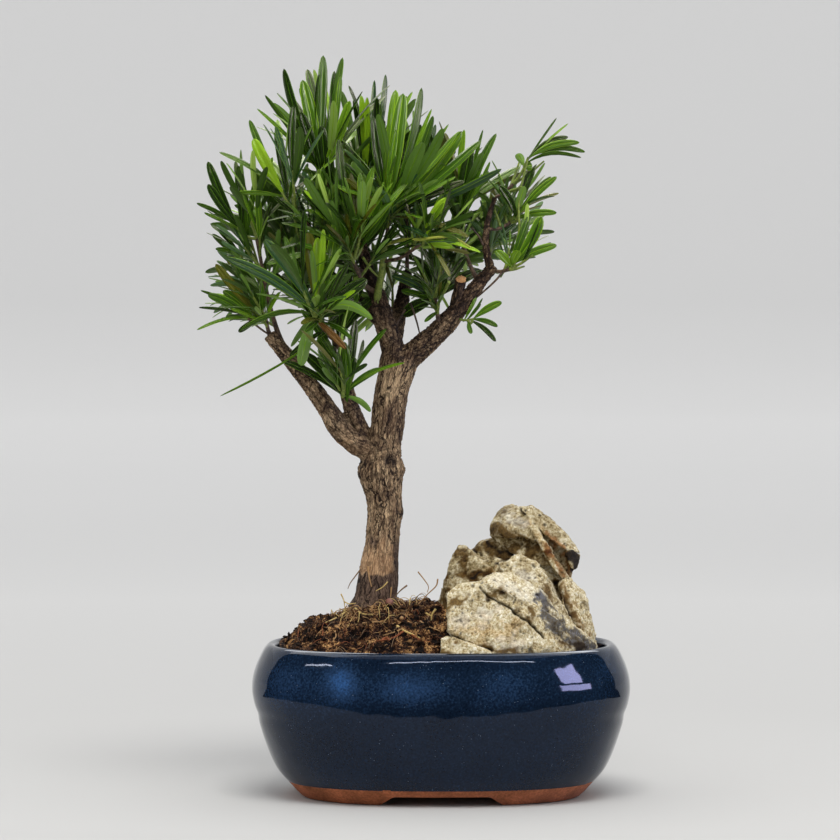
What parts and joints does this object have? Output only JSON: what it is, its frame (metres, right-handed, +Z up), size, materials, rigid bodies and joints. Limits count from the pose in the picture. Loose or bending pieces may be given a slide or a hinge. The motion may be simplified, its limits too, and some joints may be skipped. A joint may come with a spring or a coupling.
{
  "type": "potted bonsai tree",
  "caption": "Small podocarpus bonsai with long narrow leaves, a forked bare trunk, a mound of peat and a weathered rock in a dark blue glazed oval pot.",
  "frame": {"origin": "on the table, under the middle of the whole plant's bounding box; the pot's own centre is 15 mm to the right of it and 2 mm in front", "axes": "+Z up; +X to the right as seen from the front, where the pot is long and the rock stands right of the trunk; +Y towards the back"},
  "size_m": [0.2301, 0.1649, 0.3882],
  "materials": {
    "glazed_pot": "gloss",
    "peat_soil": "matte",
    "limestone": "matte",
    "bark": "matte",
    "green_bark": "matte",
    "leaves": "satin"
  },
  "bodies": {
    "root": {"bough_back": "bark", "bough_back_left": "bark", "bough_left": "bark", "bough_left_upright": "bark", "bough_right": "bark", "foliage_back_left": "leaves", "foliage_back_left_low": "leaves", "foliage_back_low": "leaves", "foliage_back_middle": "leaves", "foliage_back_right": "leaves", "foliage_back_top": "leaves", "foliage_front_left": "leaves", "foliage_front_low": "leaves", "foliage_front_right": "leaves", "foliage_inner_front": "leaves", "foliage_inner_left": "leaves", "foliage_left_lower": "leaves", "foliage_left_middle": "leaves", "foliage_left_top": "leaves", "foliage_middle_front": "leaves", "foliage_middle_right": "leaves", "foliage_right_back": "leaves", "foliage_right_lower": "leaves", "foliage_right_tip": "leaves", "foliage_right_under": "leaves", "foliage_right_upper": "leaves", "foliage_top_front": "leaves", "foliage_top_left": "leaves", "foliage_top_middle": "leaves", "foliage_top_right": "leaves", "foliage_upper_left": "leaves", "green_stem": "green_bark", "leader": "bark", "pot": "glazed_pot", "riser_right": "bark", "rock_front": "limestone", "rock_head": "limestone", "rock_middle": "limestone", "rock_overhang": "limestone", "rock_pebble": "limestone", "rock_right": "limestone", "rock_shoulder": "limestone", "soil": "peat_soil", "stub_right": "bark", "trunk": "bark"}
  },
  "joints": []
}
